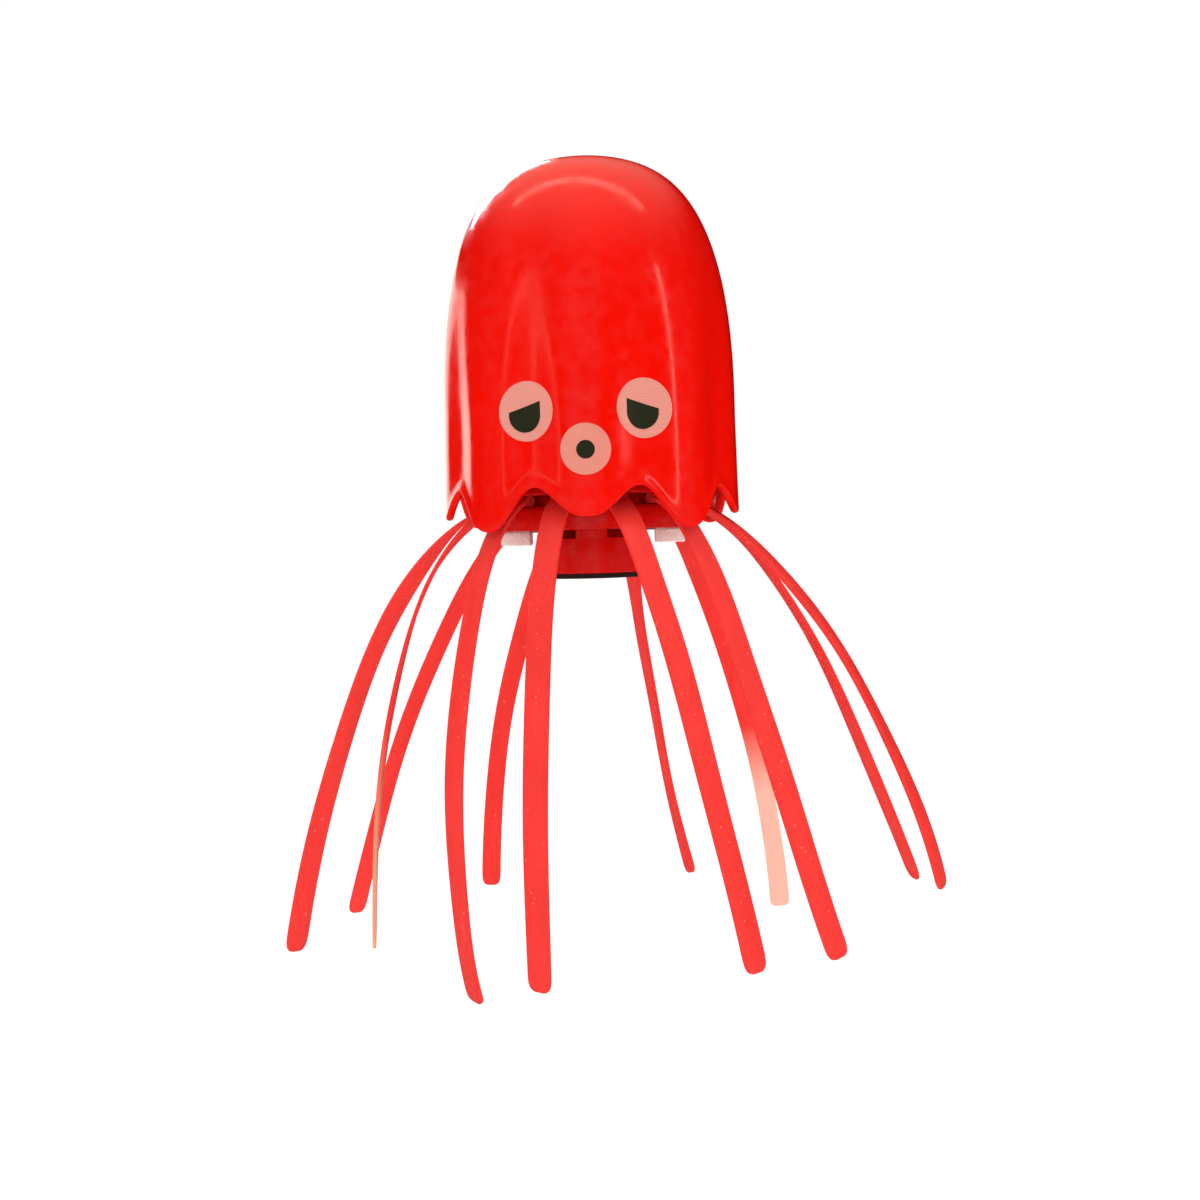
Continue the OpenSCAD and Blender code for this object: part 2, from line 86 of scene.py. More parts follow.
def make_world():
    """Pale to look at, dimmer round the horizon than overhead as a light, and mirrored only from overhead."""
    world = bpy.data.worlds.new("studio")
    scene.world = world
    world.use_nodes = True
    tree = world.node_tree
    tree.nodes.clear()
    add = tree.nodes.new
    place = add("ShaderNodeTexCoord")
    split = add("ShaderNodeSeparateXYZ")
    ramp = add("ShaderNodeValToRGB")
    ramp.color_ramp.elements[0].position = 0.62
    ramp.color_ramp.elements[0].color = (0.06, 0.06, 0.06, 1)
    ramp.color_ramp.elements[1].position = 0.82
    ramp.color_ramp.elements[1].color = (0.85, 0.85, 0.86, 1)
    lift = add("ShaderNodeMath")
    lift.operation = "MULTIPLY_ADD"
    lift.inputs[1].default_value, lift.inputs[2].default_value = 0.5, 0.5
    lit, seen, mix = add("ShaderNodeBackground"), add("ShaderNodeBackground"), add("ShaderNodeMixShader")
    path, out = add("ShaderNodeLightPath"), add("ShaderNodeOutputWorld")
    mirrored, choose = add("ShaderNodeBackground"), add("ShaderNodeMixShader")
    above = add("ShaderNodeMapRange")
    above.interpolation_type = "SMOOTHSTEP"
    above.inputs["From Min"].default_value, above.inputs["From Max"].default_value = 0.5, 1.0
    above.inputs["To Max"].default_value = 1.1
    mirrored.inputs["Color"].default_value = (1.0, 0.9, 0.7, 1)
    seen.inputs["Color"].default_value = (1, 1, 1, 1)
    link = tree.links.new
    link(split.outputs["Z"], above.inputs["Value"])
    link(above.outputs[0], mirrored.inputs["Strength"])
    link(path.outputs["Is Glossy Ray"], choose.inputs[0])
    link(lit.outputs[0], choose.inputs[1])
    link(mirrored.outputs[0], choose.inputs[2])
    link(place.outputs["Generated"], split.inputs[0])
    link(split.outputs["Z"], lift.inputs[0])
    link(lift.outputs[0], ramp.inputs[0])
    link(ramp.outputs[0], lit.inputs["Color"])
    link(path.outputs["Is Camera Ray"], mix.inputs[0])
    link(choose.outputs[0], mix.inputs[1])
    link(seen.outputs[0], mix.inputs[2])
    link(mix.outputs[0], out.inputs[0])


def make_stage():
    """A plain pale floor below the strips, clear when seen from underneath, and soft studio light."""
    bm = bmesh.new()
    bmesh.ops.create_circle(bm, cap_ends=True, segments=96, radius=4)
    bmesh.ops.translate(bm, verts=bm.verts, vec=(0, 0, -0.16))
    mesh = bpy.data.meshes.new("floor")
    bm.to_mesh(mesh)
    bm.free()
    floor = bpy.data.objects.new("floor", mesh)
    scene.collection.objects.link(floor)
    pale = bpy.data.materials.new("pale_floor")
    pale.use_nodes = True
    tree = pale.node_tree
    tree.nodes.clear()
    add, link = tree.nodes.new, tree.links.new
    matt, glow, mix = add("ShaderNodeBsdfDiffuse"), add("ShaderNodeEmission"), add("ShaderNodeMixShader")
    dim, black = add("ShaderNodeMixShader"), add("ShaderNodeEmission")
    path, share, out = add("ShaderNodeLightPath"), add("ShaderNodeMath"), add("ShaderNodeOutputMaterial")
    matt.inputs["Color"].default_value = (0.78, 0.78, 0.78, 1)
    glow.inputs["Strength"].default_value = 1.12
    black.inputs["Strength"].default_value = 0.08
    share.operation = "MULTIPLY"
    share.inputs[1].default_value = 0.85
    link(path.outputs["Is Camera Ray"], share.inputs[0])
    link(share.outputs[0], mix.inputs[0])
    link(path.outputs["Is Glossy Ray"], dim.inputs[0])
    link(matt.outputs[0], dim.inputs[1])
    link(black.outputs[0], dim.inputs[2])
    link(dim.outputs[0], mix.inputs[1])
    link(glow.outputs[0], mix.inputs[2])
    side, clear = add("ShaderNodeNewGeometry"), add("ShaderNodeBsdfTransparent")
    one_sided = add("ShaderNodeMixShader")
    link(side.outputs["Backfacing"], one_sided.inputs[0])
    link(mix.outputs[0], one_sided.inputs[1])
    link(clear.outputs[0], one_sided.inputs[2])
    link(one_sided.outputs[0], out.inputs["Surface"])
    mesh.materials.append(pale)
    area_light("window", (-0.27, 0.62, 0.52), (0.30, 0.22), 7.0, (1, 0.95, 1), (-0.02, 0, 0.07))
    area_light("lamp_above", (-0.02, -0.10, 0.80), (1.2, 0.09), 1.0, (1, 0.86, 0.68))
    area_light("left_tall", (-0.55, -0.53, 0.20), (0.035, 0.50), 0.10, (1, 0.85, 0.66))
    area_light("right_tall", (0.60, -0.42, 0.20), (0.05, 0.50), 0.40, (1, 0.90, 0.76))
    area_light("left_edge", (-0.42, 0.70, 0.15), (0.62, 0.36), 1.7, (1, 0.86, 0.76))
    area_light("front_fill", (-0.10, -0.90, 0.12), (0.9, 0.9), 3.5, mirrored=False)
    area_light("left_fill", (-0.80, -0.30, 0.25), (0.6, 0.6), 1.0, mirrored=False)
    area_light("right_fill", (0.85, -0.30, 0.10), (0.6, 0.6), 1.3, mirrored=False)
    area_light("top_fill", (-0.10, -0.20, 0.90), (0.8, 0.8), 0.8, mirrored=False)
    scene.view_settings.view_transform = "Standard"


make_camera()
make_world()
make_stage()


# ---------------------------------------------------------------- materials

class Finish:
    """A material under construction: short ways to drive a shader's sockets from object coordinates."""

    def __init__(self, name, colour, roughness, **sockets):
        self.material = bpy.data.materials.new(name)
        self.material.use_nodes = True
        self.tree = self.material.node_tree
        self.shader = self.tree.nodes["Principled BSDF"]
        self.colour = colour
        self.place = self.tree.nodes.new("ShaderNodeTexCoord").outputs["Object"]
        self.set("Base Color", (*colour, 1))
        self.set("Roughness", roughness)
        for socket, value in sockets.items():
            self.set(socket.replace("_", " "), value)

    def set(self, socket, value):
        self.shader.inputs[socket].default_value = value

    def node(self, kind, **values):
        made = self.tree.nodes.new("ShaderNode" + kind)
        for key, value in values.items():
            if key in made.inputs:
                made.inputs[key].default_value = value
            else:
                setattr(made, key, value)
        return made

    def link(self, a, b):
        self.tree.links.new(a, b)

    def noise(self, scale, detail=3, rough=0.55, stretch=(1, 1, 1)):
        mapping = self.node("Mapping")
        mapping.inputs["Scale"].default_value = stretch
        self.link(self.place, mapping.inputs[0])
        made = self.node("TexNoise", Scale=scale, Detail=detail, Roughness=rough)
        self.link(mapping.outputs[0], made.inputs["Vector"])
        return made.outputs["Fac"]

    def ramp(self, value, stops):
        made = self.node("ValToRGB")
        elements = made.color_ramp.elements
        while len(elements) < len(stops):
            elements.new(0.5)
        for element, (position, colour) in zip(elements, stops):
            element.position = position
            element.color = (*colour, 1) if len(colour) == 3 else colour
        self.link(value, made.inputs[0])
        return made.outputs["Color"]

    def paint(self, value, low, high, span=(0.35, 0.65)):
        self.link(self.ramp(value, [(span[0], low), (span[1], high)]), self.shader.inputs["Base Color"])

    def vary_roughness(self, value, low, high, span=(0.35, 0.65)):
        stops = [(span[0], (low, low, low)), (span[1], (high, high, high))]
        self.link(self.ramp(value, stops), self.shader.inputs["Roughness"])

    def bump(self, value, strength, depth):
        made = self.node("Bump", Strength=strength, Distance=depth)
        self.link(value, made.inputs["Height"])
        self.link(made.outputs[0], self.shader.inputs["Normal"])


def shade(colour, factor):
    return tuple(min(1.0, c * factor) for c in colour)


def glossy_plastic(name, colour, roughness=0.12):
    """Injection-moulded glossy plastic: faint flow marks, orange peel and fine wear."""
    made = Finish(name, colour, roughness, Coat_Weight=0.1, Coat_Roughness=0.08, Specular_IOR_Level=0.36)
    made.paint(made.noise(55, 4, 0.6, (1, 1, 0.4)), shade(colour, 0.93), shade(colour, 1.05), (0.3, 0.7))
    made.vary_roughness(made.noise(420, 3), roughness * 0.75, roughness * 1.6)
    made.bump(made.noise(900, 2), 0.06, 0.0002)
    return made.material


def matte_plastic(name, colour, roughness=0.45):
    made = Finish(name, colour, roughness, Specular_IOR_Level=0.4)
    made.paint(made.noise(160, 4), shade(colour, 0.9), shade(colour, 1.06))
    made.vary_roughness(made.noise(600, 3), roughness * 0.8, min(1, roughness * 1.25))
    made.bump(made.noise(2600, 3), 0.12, 0.00015)
    return made.material


def metal(name, colour, roughness=0.28, grain=(1, 1, 30)):
    made = Finish(name, colour, roughness, Metallic=1.0)
    made.paint(made.noise(90, 4), shade(colour, 0.85), shade(colour, 1.08))
    made.vary_roughness(made.noise(500, 3, 0.6, grain), roughness * 0.7, roughness * 1.5)
    made.bump(made.noise(1500, 2, 0.6, grain), 0.08, 0.0001)
    return made.material


def rubber(name, colour, roughness=0.6):
    made = Finish(name, colour, roughness, Specular_IOR_Level=0.3)
    made.paint(made.noise(240, 4), shade(colour, 0.8), shade(colour, 1.25))
    made.bump(made.noise(1800, 4), 0.2, 0.0002)
    return made.material


def foam(name, colour):
    """Closed-cell foam: tiny cells in a pale skin."""
    made = Finish(name, colour, 0.85, Specular_IOR_Level=0.2)
    cells = made.node("TexVoronoi", Scale=1700.0)
    made.link(made.place, cells.inputs["Vector"])
    made.paint(cells.outputs["Distance"], shade(colour, 0.86), shade(colour, 1.04), (0.0, 0.5))
    made.bump(cells.outputs["Distance"], 0.5, 0.0003)
    return made.material


def print_ink(name, colour, roughness=0.3, centre=None):
    """Pad print: a thin ink film, with fine rings round its centre where the pad left them."""
    made = Finish(name, colour, roughness, Coat_Weight=0.05, Coat_Roughness=0.12, Specular_IOR_Level=0.25)
    grain = made.noise(700, 4, 0.6)
    if centre:
        moved = made.node("Mapping")
        moved.inputs["Location"].default_value = -centre
        rings = made.node("TexWave", wave_type="RINGS", rings_direction="SPHERICAL", Scale=620.0,
                          Distortion=1.2)
        made.link(made.place, moved.inputs[0])
        made.link(moved.outputs[0], rings.inputs["Vector"])
        blend = made.node("Mix", data_type="FLOAT")
        blend.inputs[0].default_value = 0.45
        made.link(grain, blend.inputs[2])
        made.link(rings.outputs["Fac"], blend.inputs[3])
        grain = blend.outputs[0]
    made.paint(grain, shade(colour, 0.94), shade(colour, 1.05), (0.2, 0.8))
    made.bump(grain, 0.1, 0.0001)
    return made.material


def soft_strip(name, colour, pale=None, fade=(0.0, 0.0)):
    """Soft elastomer with a satin skin and specks of dust; a pale strip loses its red between two heights."""
    made = Finish(name, colour, 0.42, Specular_IOR_Level=0.2, Subsurface_Weight=0.2, Subsurface_Scale=0.003)
    made.set("Subsurface Radius", (1.0, 0.25, 0.2))
    stops = [(0.3, shade(colour, 0.9)), (0.7, shade(colour, 1.06))]
    body = made.ramp(made.noise(210, 4, 0.6, (1, 1, 0.35)), stops)
    specks = made.ramp(made.noise(1500, 2, 0.4), [(0.70, (0, 0, 0)), (0.78, (0.5, 0.5, 0.5))])
    mix = made.node("Mix", data_type="RGBA", blend_type="MIX")
    made.link(specks, mix.inputs[0])
    made.link(body, mix.inputs[6])
    mix.inputs[7].default_value = (1.0, 0.42, 0.36, 1)
    result = mix.outputs[2]
    if pale:
        split = made.node("SeparateXYZ")
        made.link(made.place, split.inputs[0])
        height = made.node("MapRange")
        made.link(split.outputs["Z"], height.inputs["Value"])
        height.inputs["From Min"].default_value, height.inputs["From Max"].default_value = fade
        fading = made.node("Mix", data_type="RGBA", blend_type="MIX")
        made.link(height.outputs[0], fading.inputs[0])
        made.link(result, fading.inputs[6])
        fading.inputs[7].default_value = (*pale, 1)
        result = fading.outputs[2]
    made.link(result, made.shader.inputs["Base Color"])
    made.vary_roughness(made.noise(380, 3), 0.3, 0.5)
    made.bump(made.noise(800, 2, 0.5), 0.03, 0.0001)
    return made.material


HEAD_RED, BASE_RED, STRIP_RED = (0.86, 0.004, 0.0005), (0.62, 0.003, 0.001), (0.90, 0.041, 0.033)
EYE_PEACH, MOUTH_PEACH = (0.78, 0.29, 0.23), (0.78, 0.26, 0.20)
PALE_PEACH, PALE_PINK = (0.86, 0.34, 0.20), (0.90, 0.54, 0.42)
EVEN_GRAIN = (1, 1, 1)

head_finish = glossy_plastic("head_red_gloss", HEAD_RED, 0.15)
base_finish = glossy_plastic("base_red_gloss", BASE_RED, 0.2)
pupil_finish = print_ink("pupil_print_dark", (0.018, 0.020, 0.007), 0.4)
strip_finish = soft_strip("strip_soft_red", STRIP_RED)
pale_strip_finishes = {
    2: soft_strip("strip_soft_pale_left", STRIP_RED, PALE_PEACH, (-0.030, -0.060)),
    9: soft_strip("strip_soft_pale_right", STRIP_RED, PALE_PINK, (-0.036, -0.052)),
}
guard_finish = matte_plastic("guard_black", (0.012, 0.014, 0.010), 0.4)
foam_finish = foam("float_foam_cream", (0.98, 0.98, 0.90))
capsule_finish = matte_plastic("capsule_milky", (0.80, 0.80, 0.75), 0.35)
rubber_finish = rubber("seal_black_rubber", (0.015, 0.015, 0.016))
ballast_finish = metal("ballast_steel_turned", (0.36, 0.37, 0.39), 0.4)
impeller_finish = matte_plastic("impeller_ivory", (0.86, 0.84, 0.78), 0.4)
gold_finish = metal("contact_gold_plate", (0.83, 0.62, 0.27), 0.22, EVEN_GRAIN)
cell_finish = metal("cell_nickel", (0.72, 0.73, 0.74), 0.2, EVEN_GRAIN)
motor_finish = metal("motor_zinc", (0.58, 0.60, 0.62), 0.32)
white_finish = matte_plastic("gear_acetal", (0.86, 0.86, 0.82), 0.35)
screw_finish = metal("screw_zinc", (0.66, 0.66, 0.67), 0.3, EVEN_GRAIN)
bush_finish = metal("bush_bronze_sintered", (0.55, 0.36, 0.16), 0.5, EVEN_GRAIN)
shaft_finish = metal("shaft_ground", (0.68, 0.69, 0.70), 0.18, EVEN_GRAIN)
plate_finish = matte_plastic("gear_plate_blue", (0.05, 0.08, 0.16), 0.4)
board_finish = matte_plastic("board_green_mask", (0.02, 0.16, 0.06), 0.3)
lead_finish = rubber("lead_sleeve_red", (0.45, 0.02, 0.02), 0.4)
cap_finish = matte_plastic("cap_orange_moulded", (0.80, 0.20, 0.04), 0.35)


# ---------------------------------------------------------------- building pieces

def piece(name, bm, material, body, slot, *nodes, sharp=40):
    """Turns a bmesh into a finished piece that rides on a body and stands for some CAD nodes."""
    bmesh.ops.recalc_face_normals(bm, faces=bm.faces)
    mesh = bpy.data.meshes.new(name)
    bm.to_mesh(mesh)
    bm.free()
    for polygon in mesh.polygons:
        polygon.use_smooth = True
    mesh.set_sharp_from_angle(angle=math.radians(sharp))
    made = bpy.data.objects.new(name, mesh)
    scene.collection.objects.link(made)
    mesh.materials.append(material)
    if nodes:
        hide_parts(*nodes)
    if body:
        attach(made, body)
    return made


def rounded_outline(corners, steps=4):
    """Corners are (r, z) or (r, z, fillet) in millimetres; each filleted corner becomes an arc."""
    points = []
    count = len(corners)
    for i, corner in enumerate(corners):
        here = Vector(corner[:2])
        fillet = corner[2] if len(corner) > 2 else 0
        if not fillet:
            points.append(here)
            continue
        back = (Vector(corners[i - 1][:2]) - here).normalized()
        ahead = (Vector(corners[(i + 1) % count][:2]) - here).normalized()
        half = back.angle(ahead) / 2
        reach = fillet / math.tan(half)
        centre = here + (back + ahead).normalized() * fillet / math.sin(half)
        start, end = here + back * reach - centre, here + ahead * reach - centre
        sweep = start.angle_signed(end)
        points += [centre + Matrix.Rotation(-sweep * k / steps, 2) @ start for k in range(steps + 1)]
    return points


def lathe(bm, outline, closed=True, steps=96):
    """Spins an outline of (r, z) millimetres about the Z axis; an open one starts and ends on the axis."""
    verts = [bm.verts.new((p[0] * MM, 0, p[1] * MM)) for p in outline]
    edges = [bm.edges.new(pair) for pair in zip(verts, verts[1:])]
    if closed:
        edges.append(bm.edges.new((verts[-1], verts[0])))
    bmesh.ops.spin(bm, geom=verts + edges, cent=(0, 0, 0), axis=(0, 0, 1), angle=2 * math.pi, steps=steps,
                   use_merge=True)
    bmesh.ops.remove_doubles(bm, verts=bm.verts, dist=1e-7)


def lathed(name, corners, material, body, slot, *nodes, steps=96):
    """A finished piece that is one spun ring."""
    bm = bmesh.new()
    lathe(bm, rounded_outline(corners), steps=steps)
    piece(name, bm, material, body, slot, *nodes)


# ---------------------------------------------------------------- head

# In millimetres; the wall is spun from RIM_BASE up, then its rim is drawn into lobes and arches
HEAD_R, HEAD_TAPER, DOME_Z, DOME_H, WALL = 29.8, 0.4, 32.0, 50.0, 1.6
LOBES, ARCH_Z, GROOVE = 9, 17.2, 1.5
LOBE_DROPS = (5.5, 7.8, 5.0, 6.4, 6.6)
DOME_POWER_Z, DOME_POWER_R = 2.4, 3.3
RIM_BASE = 10.0
LIP_R = WALL / 2
WALL_ROWS, DOME_ROWS, LIP_ROWS = 22, 44, 8
RIBS, RIB_SIZE, RIB_PLACE = 3, (1.2, 9.1, 14), (0, -23.65, 25.6)
EYE_AZ, EYE_Z, EYE_R = math.radians(22), 31, 5.4
PUPIL_SHIFT, PUPIL_Z, PUPIL_SLOPE = math.radians(0.6), 30.3, math.radians(16)
MOUTH_Z, MOUTH_R, MOUTH_HOLE_Z, MOUTH_HOLE_R = 23.7, 4.6, 23.6, 1.65
FIRST_INK_LIFT, SECOND_INK_LIFT, INK_T = 0.02, 0.12, 0.12


def arch_share(az):
    return (1 - math.cos(LOBES * az)) / 2


def rim_z(az):
    turned = abs(math.degrees(math.remainder(az, 2 * math.pi)))
    drop = LOBE_DROPS[min(round(turned * LOBES / 360), 4)]
    return ARCH_Z - drop * (1 - arch_share(az) ** 1.3)


def relief(az, z):
    """How far the grooves pull the wall in, less the roll of the lip over each arch."""
    fade = max(0, min(1, (72 - z) / 45))
    groove = GROOVE * fade ** 1.2 * arch_share(az) ** 1.4
    lip = 0.7 * arch_share(az) * math.exp(-((z - rim_z(az)) / 2) ** 2)
    return groove - lip


def dome_r(z):
    t = max(0, min(1, (z - DOME_Z) / DOME_H))
    straight = HEAD_R - HEAD_TAPER * min(1, (z - RIM_BASE) / (DOME_Z - RIM_BASE))
    return straight * (1 - t ** DOME_POWER_Z) ** (1 / DOME_POWER_R)


def on_head(u, v, az, z, lift):
    """The point u across and v up from a place on the head, lifted off its surface, in metres."""
    a = az + u / dome_r(z)
    h = z + v
    r = dome_r(h) - relief(a, h) + lift
    return Vector((r * math.sin(a), -r * math.cos(a), h)) * MM


def dome_arc(inset, rows):
    """The dome from its start to its crown, inset from the outer surface."""
    base = HEAD_R - HEAD_TAPER - inset
    lifts = [math.pi / 2 * k / rows for k in range(rows + 1)]
    return [(base * max(0, math.cos(a)) ** (2 / DOME_POWER_R),
             DOME_Z + (DOME_H - inset) * math.sin(a) ** (2 / DOME_POWER_Z)) for a in lifts]


def wall_line(inset, rows):
    """The nearly straight wall from its lip to the dome, with closer rows near the lip."""
    bottom = RIM_BASE + LIP_R
    heights = [bottom + (DOME_Z - RIM_BASE - LIP_R) * (k / rows) ** 1.3 for k in range(rows)]
    return [(HEAD_R - HEAD_TAPER * (z - RIM_BASE) / (DOME_Z - RIM_BASE) - inset, z) for z in heights]


def lip_arc(rows):
    """The half circle that joins the inner and the outer wall at the rim."""
    turns = [math.pi * k / rows for k in range(1, rows)]
    return [(HEAD_R - LIP_R - LIP_R * math.cos(a), RIM_BASE + LIP_R - LIP_R * math.sin(a)) for a in turns]


def make_head():
    """The shell: a spun wall with a rounded lip, then fluted and scalloped, with ribs inside."""
    inner = list(reversed(wall_line(WALL, WALL_ROWS) + dome_arc(WALL, DOME_ROWS)))
    outline = inner + lip_arc(LIP_ROWS) + wall_line(0, WALL_ROWS) + dome_arc(0, DOME_ROWS)
    bm = bmesh.new()
    lathe(bm, outline, closed=False, steps=216)
    for vert in bm.verts:
        x, y, z = vert.co / MM
        r, az = math.hypot(x, y), math.atan2(x, -y)
        if z < DOME_Z:
            z = rim_z(az) + (z - RIM_BASE) * (DOME_Z - rim_z(az)) / (DOME_Z - RIM_BASE)
        r = max(0, r - relief(az, z) * min(1, r / 12))
        vert.co = Vector((r * math.sin(az), -r * math.cos(az), z)) * MM
    for k in range(RIBS):
        rib = bmesh.ops.create_cube(bm, size=1)["verts"]
        bmesh.ops.scale(bm, verts=rib, vec=Vector(RIB_SIZE) * MM)
        bmesh.ops.translate(bm, verts=rib, vec=Vector(RIB_PLACE) * MM)
        bmesh.ops.rotate(bm, verts=rib, cent=(0, 0, 0), matrix=Matrix.Rotation(k * math.tau / RIBS, 3, "Z"))
    piece("head_casting", bm, head_finish, "head", "head_red", "head_shell")


def printed_patch(name, az, z, radius, material, slot, node, lift, spokes=96, rings=10):
    """A thin ink patch that follows the head; radius is a number or a function of the angle round it."""
    bm = bmesh.new()
    top = [(k / rings, 1) for k in range(rings + 1)]
    under = [(share, 0) for share, _ in reversed(top)]
    line = [bm.verts.new((share, 0, level)) for share, level in top + under]
    edges = [bm.edges.new(pair) for pair in zip(line, line[1:])]
    bmesh.ops.spin(bm, geom=line + edges, cent=(0, 0, 0), axis=(0, 0, 1), angle=2 * math.pi, steps=spokes,
                   use_merge=True)
    bmesh.ops.remove_doubles(bm, verts=bm.verts, dist=1e-5)
    for vert in bm.verts:
        share, angle = math.hypot(vert.co.x, vert.co.y), math.atan2(vert.co.y, vert.co.x)
        reach = share * (radius(angle) if callable(radius) else radius)
        height = lift + INK_T * (0.7 if share > 0.99 else 1) if vert.co.z > 0.5 else lift - 0.1
        vert.co = on_head(reach * math.cos(angle), reach * math.sin(angle), az, z, height)
    piece(name, bm, material, "head", slot, node)


def pupil_outline(slope, radius=3.1, rise=1.5):
    """A U shape closed by a straight upper edge at a slope."""
    def reach(angle):
        angle %= 2 * math.pi
        across = math.sin(angle) - math.tan(slope) * math.cos(angle)
        top = rise / across if across > 0.02 else 100
        if angle >= math.pi:
            return min(radius, top)
        return min(radius / max(abs(math.cos(angle)), 0.01), top)
    return reach


def make_face():
    """Two eyes with sad pupils and an open mouth, each a pale printed disc with a dark shape on it."""
    for side, word in ((-1, "left"), (1, "right")):
        centre = on_head(0, 0, side * EYE_AZ, EYE_Z, 0.1)
        eye_finish = print_ink(f"eye_print_peach_{word}", EYE_PEACH, centre=centre)
        printed_patch(f"eye_print_{word}", side * EYE_AZ, EYE_Z, EYE_R, eye_finish, "eye_print",
                      f"eye_{word}", FIRST_INK_LIFT)
        printed_patch(f"pupil_print_{word}", side * EYE_AZ - PUPIL_SHIFT, PUPIL_Z,
                      pupil_outline(-side * PUPIL_SLOPE), pupil_finish, "pupil_print", f"pupil_{word}",
                      SECOND_INK_LIFT)
    mouth_finish = print_ink("mouth_print_peach", MOUTH_PEACH, centre=on_head(0, 0, 0, MOUTH_Z, 0.1))
    printed_patch("mouth_print", 0, MOUTH_Z, MOUTH_R, mouth_finish, "mouth_print", "mouth_disc",
                  FIRST_INK_LIFT)
    printed_patch("mouth_hole_print", 0, MOUTH_HOLE_Z, MOUTH_HOLE_R, pupil_finish, "pupil_print",
                  "mouth_dot", SECOND_INK_LIFT, rings=4)


make_head()
make_face()


# ---------------------------------------------------------------- soft strips

BEAD_RING_R, BEAD_Z, BEAD_R = 18.4, 15.25, 1.05
STRIP_W, STRIP_T, STRIP_LENGTH = 4.8, 0.9, 98
STRIP_CUTS, TIP_SHARE = 110, 0.1
TWIST_START, TWIST_SPAN = 0.12, 0.4
# Each strip: angle from the front; side shift, reach and height of its tip; the same of the bend above; twist
STRIP_SHAPES = (
    (-75, 3, 61.9, -70.1, -0.4, 50.1, -9.1, -45), (-105, 9.2, 48.7, -77.9, 5.2, 47.6, -5.1, 23),
    (-135, 25.1, 56.5, -76.5, 13.4, 50.2, -20.9, 8), (-45, 3, 35.3, -77.1, 2.1, 45.1, -42.7, 0),
    (-165, 17.9, 40.9, -74.6, 15.9, 51.2, -24.5, -42), (-15, -4.9, 26.5, -76.8, -2.3, 34.7, -19.8, -4),
    (165, -10.2, 39.8, -72.8, 4.3, 48.3, -23.6, -52), (15, 13.7, 51.6, -65, 7.1, 35.6, -11.8, 18),
    (135, -7.7, 49.6, -79.2, -4.8, 52.8, -50.3, 70), (45, 5.6, 54.6, -67.2, 2.5, 38.5, -23, -14),
    (105, -7.5, 67.5, -67.3, -3.1, 46, -3.8, -2), (75, 5.7, 67.7, -62.2, 4.7, 57.5, -18.2, -12))


def strip_route(shape):
    """The four control points of a strip's centre line, before it is turned to its place on the ring."""
    _, tip_x, tip_r, tip_z, bend_x, bend_r, bend_z, _ = shape
    return [Vector(p) for p in ((0, -BEAD_RING_R, BEAD_Z), (0, -BEAD_RING_R - 13, BEAD_Z - 2),
                                (bend_x, -bend_r, bend_z), (tip_x, -tip_r, tip_z))]


def cubic(p, t):
    s = 1 - t
    return s * s * s * p[0] + 3 * s * s * t * p[1] + 3 * s * t * t * p[2] + t * t * t * p[3]


def cubic_way(p, t):
    """The direction of the centre line at a share t of its way."""
    s = 1 - t
    return (s * s * (p[1] - p[0]) + 2 * s * t * (p[2] - p[1]) + t * t * (p[3] - p[2])).normalized()


